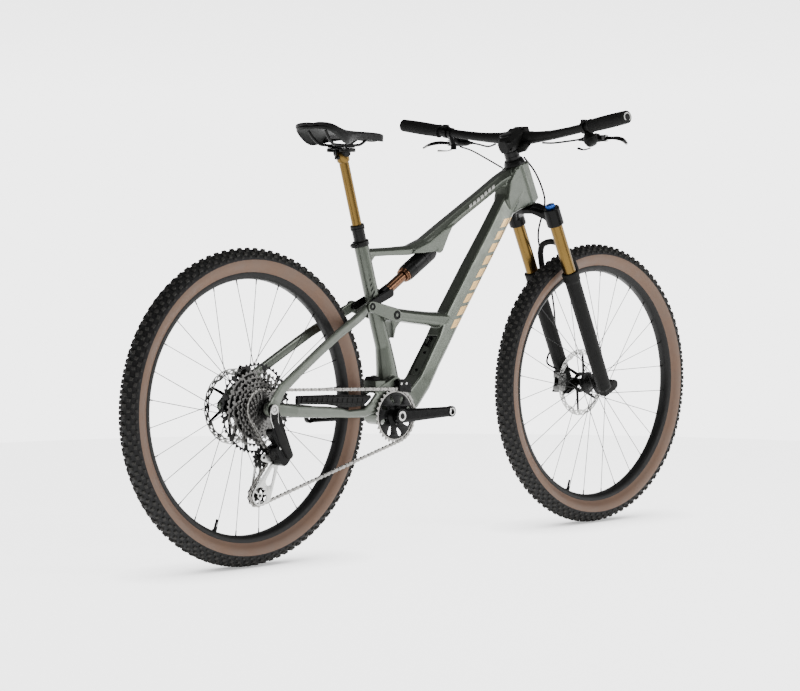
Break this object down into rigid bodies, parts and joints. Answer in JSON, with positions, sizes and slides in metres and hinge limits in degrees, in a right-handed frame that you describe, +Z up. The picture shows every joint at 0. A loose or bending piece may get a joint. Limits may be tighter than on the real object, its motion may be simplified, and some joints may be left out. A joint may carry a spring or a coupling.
{
  "type": "mountain bike",
  "caption": "Full-suspension trail mountain bike with a four-bar rear linkage, telescopic fork, single-ring drivetrain, disc brakes and a dropper seat post.",
  "frame": {"origin": "on the ground, midway between the two tyres' contact points", "axes": "+X forward, +Y to the rider's left, +Z up"},
  "size_m": [1.982, 0.7834, 1.0774],
  "materials": {
    "frame_paint": "satin metallic",
    "black_alloy": "anodised black",
    "black_paint": "satin black",
    "silver_alloy": "bright",
    "rotor_steel": "brushed",
    "drive_steel": "dark plated",
    "spoke_steel": "black",
    "gold_coat": "gold anodised",
    "bronze": "bronze anodised",
    "tyre": "matte",
    "grip_rubber": "matte",
    "hose": "satin",
    "guard": "matte",
    "blue": "anodised blue",
    "saddle_cover": "matte"
  },
  "bodies": {
    "frame": {"front_triangle": "frame_paint", "seat_clamp": "black_alloy", "dropper_outer": "black_alloy", "bottom_bracket": "black_alloy", "chain_guide": "black_paint"},
    "door": {"storage_door": "frame_paint"},
    "latch": {"door_latch": "black_alloy"},
    "chainstay": {"chainstay": "frame_paint", "chainstay_guard": "guard", "rear_axle": "black_alloy", "rear_caliper": "black_paint", "derailleur_body": "black_paint", "chain": "drive_steel"},
    "seatstays": {"seatstay_right": "frame_paint", "seatstay_left": "frame_paint"},
    "rocker": {"rocker_right": "frame_paint", "rocker_left": "frame_paint"},
    "shock_can": {"shock_can": "black_alloy"},
    "shock_shaft": {"shock_shaft": "bronze", "shock_yoke": "black_paint"},
    "rear_wheel": {"rear_tyre": "tyre", "rear_rim": "black_alloy", "rear_spokes": "spoke_steel", "rear_hub": "black_alloy", "rear_rotor": "rotor_steel"},
    "cassette": {"cassette": "drive_steel"},
    "cage": {"derailleur_cage": "silver_alloy"},
    "guide_pulley": {"guide_pulley": "black_paint"},
    "tension_pulley": {"tension_pulley": "black_paint"},
    "crank": {"crank_right": "black_paint", "crank_left": "black_paint", "chainring": "black_paint"},
    "steering": {"fork_crown": "black_paint", "stanchion_right": "gold_coat", "stanchion_left": "gold_coat", "stem": "black_alloy", "headset_spacers": "black_alloy", "handlebar": "black_alloy", "grip_right": "grip_rubber", "grip_left": "grip_rubber", "brake_master_right": "black_alloy", "brake_master_left": "black_alloy", "hose_right": "hose", "hose_left": "hose", "dropper_cable": "hose", "front_brake_hose": "hose"},
    "fork_dial": {"fork_dial": "blue"},
    "fork_lowers": {"fork_lowers": "black_paint", "front_caliper": "silver_alloy"},
    "front_wheel": {"front_tyre": "tyre", "front_rim": "black_alloy", "front_spokes": "spoke_steel", "front_hub": "black_alloy", "front_rotor": "rotor_steel"},
    "dropper": {"dropper_post": "gold_coat", "saddle": "saddle_cover"},
    "brake_lever_right": {"brake_blade_right": "silver_alloy"},
    "brake_lever_left": {"brake_blade_left": "silver_alloy"},
    "dropper_remote": {"dropper_remote": "silver_alloy"},
    "shift_paddle": {"shift_paddle": "black_paint"}
  },
  "joints": [
    {"name": "steering", "type": "hinge", "parent": "frame", "child": "steering", "pos_m": [0.33014, 0, 0.89973], "axis": [-0.4147, 0, 0.91], "range_deg": [-65, 65], "deforming": ["dropper_cable"]},
    {"name": "fork_travel", "type": "slide", "parent": "steering", "child": "fork_lowers", "axis": [-0.4147, 0, 0.91], "range_m": [0, 0.13], "stiffness_N_per_m": 5500, "springref_m": -0.03, "deforming": ["front_brake_hose"]},
    {"name": "front_wheel_spin", "type": "hinge", "parent": "fork_lowers", "child": "front_wheel", "pos_m": [0.619, 0, 0.372], "axis": [0, 1, 0], "continuous": true},
    {"name": "suspension", "type": "hinge", "parent": "frame", "child": "chainstay", "pos_m": [-0.1659, 0, 0.4092], "axis": [0, 1, 0], "range_deg": [0, 14], "stiffness_Nm_per_rad": 1100, "springref_deg": -4.58, "deforming": ["chain"]},
    {"name": "rocker_pivot", "type": "hinge", "parent": "frame", "child": "rocker", "pos_m": [-0.1628, 0, 0.5759], "axis": [0, 1, 0], "range_deg": [0, 42]},
    {"name": "seatstay_pivot", "type": "hinge", "parent": "chainstay", "child": "seatstays", "pos_m": [-0.619, 0, 0.372], "axis": [0, 1, 0], "range_deg": [-6, 0]},
    {"name": "shock_swing", "type": "hinge", "parent": "frame", "child": "shock_can", "pos_m": [0.01, 0, 0.7405], "axis": [0, 1, 0], "range_deg": [0, 6.5]},
    {"name": "shock_stroke", "type": "slide", "parent": "shock_can", "child": "shock_shaft", "axis": [0.848, 0, 0.5299], "range_m": [0, 0.0545]},
    {"name": "rear_wheel_spin", "type": "hinge", "parent": "chainstay", "child": "rear_wheel", "pos_m": [-0.619, 0, 0.372], "axis": [0, 1, 0], "continuous": true},
    {"name": "cassette_spin", "type": "hinge", "parent": "chainstay", "child": "cassette", "pos_m": [-0.619, 0, 0.372], "axis": [0, 1, 0], "continuous": true},
    {"name": "cage_swing", "type": "hinge", "parent": "chainstay", "child": "cage", "pos_m": [-0.581, -0.059, 0.248], "axis": [0, 1, 0], "range_deg": [-35, 12], "stiffness_Nm_per_rad": 1, "deforming": ["chain"]},
    {"name": "guide_pulley_spin", "type": "hinge", "parent": "cage", "child": "guide_pulley", "pos_m": [-0.62, -0.0495, 0.2585], "axis": [0, 1, 0], "continuous": true},
    {"name": "tension_pulley_spin", "type": "hinge", "parent": "cage", "child": "tension_pulley", "pos_m": [-0.632, -0.0495, 0.1711], "axis": [0, 1, 0], "continuous": true},
    {"name": "crank_spin", "type": "hinge", "parent": "frame", "child": "crank", "pos_m": [-0.1795, 0, 0.3315], "axis": [0, 1, 0], "continuous": true},
    {"name": "fork_dial_turn", "type": "hinge", "parent": "steering", "child": "fork_dial", "pos_m": [0.37191, -0.0655, 0.84183], "axis": [-0.4147, 0, 0.91], "range_deg": [0, 270]},
    {"name": "dropper_travel", "type": "slide", "parent": "frame", "child": "dropper", "axis": [-0.279, 0, 0.9603], "range_m": [-0.15, 0]},
    {"name": "brake_pull_right", "type": "hinge", "parent": "steering", "child": "brake_lever_right", "pos_m": [0.34892, -0.269, 1.01315], "axis": [-0.5031, 0, -0.8642], "range_deg": [0, 20], "stiffness_Nm_per_rad": 0.6, "springref_deg": -8.59},
    {"name": "brake_pull_left", "type": "hinge", "parent": "steering", "child": "brake_lever_left", "pos_m": [0.34892, 0.269, 1.01315], "axis": [0.5031, 0, 0.8642], "range_deg": [0, 20], "stiffness_Nm_per_rad": 0.6, "springref_deg": -8.59},
    {"name": "remote_push", "type": "hinge", "parent": "steering", "child": "dropper_remote", "pos_m": [0.31474, 0.225, 0.99645], "axis": [0, 0, -1], "range_deg": [0, 20], "stiffness_Nm_per_rad": 0.3, "springref_deg": -8.59},
    {"name": "shift_push", "type": "hinge", "parent": "steering", "child": "shift_paddle", "pos_m": [0.30167, -0.26, 0.9874], "axis": [0, 0, -1], "range_deg": [0, 14], "stiffness_Nm_per_rad": 0.3, "springref_deg": -8.59},
    {"name": "door_pull", "type": "slide", "parent": "frame", "child": "door", "axis": [-0.8213, 0, 0.5706], "range_m": [0, 0.03]},
    {"name": "latch_lift", "type": "hinge", "parent": "door", "child": "latch", "pos_m": [-0.00344, 0, 0.5163], "axis": [0, 1, 0], "range_deg": [0, 50]}
  ],
  "couplings": [
    {"joint": "rocker_pivot", "follows": "suspension", "ratio": 2.9371},
    {"joint": "seatstay_pivot", "follows": "suspension", "ratio": -0.3552},
    {"joint": "shock_swing", "follows": "suspension", "ratio": 0.3988},
    {"joint": "shock_stroke", "follows": "suspension", "m_per_rad": 0.2192},
    {"joint": "cassette_spin", "follows": "crank_spin", "ratio": 1.5238},
    {"joint": "guide_pulley_spin", "follows": "crank_spin", "ratio": -2.6667},
    {"joint": "tension_pulley_spin", "follows": "crank_spin", "ratio": 2.6667}
  ]
}
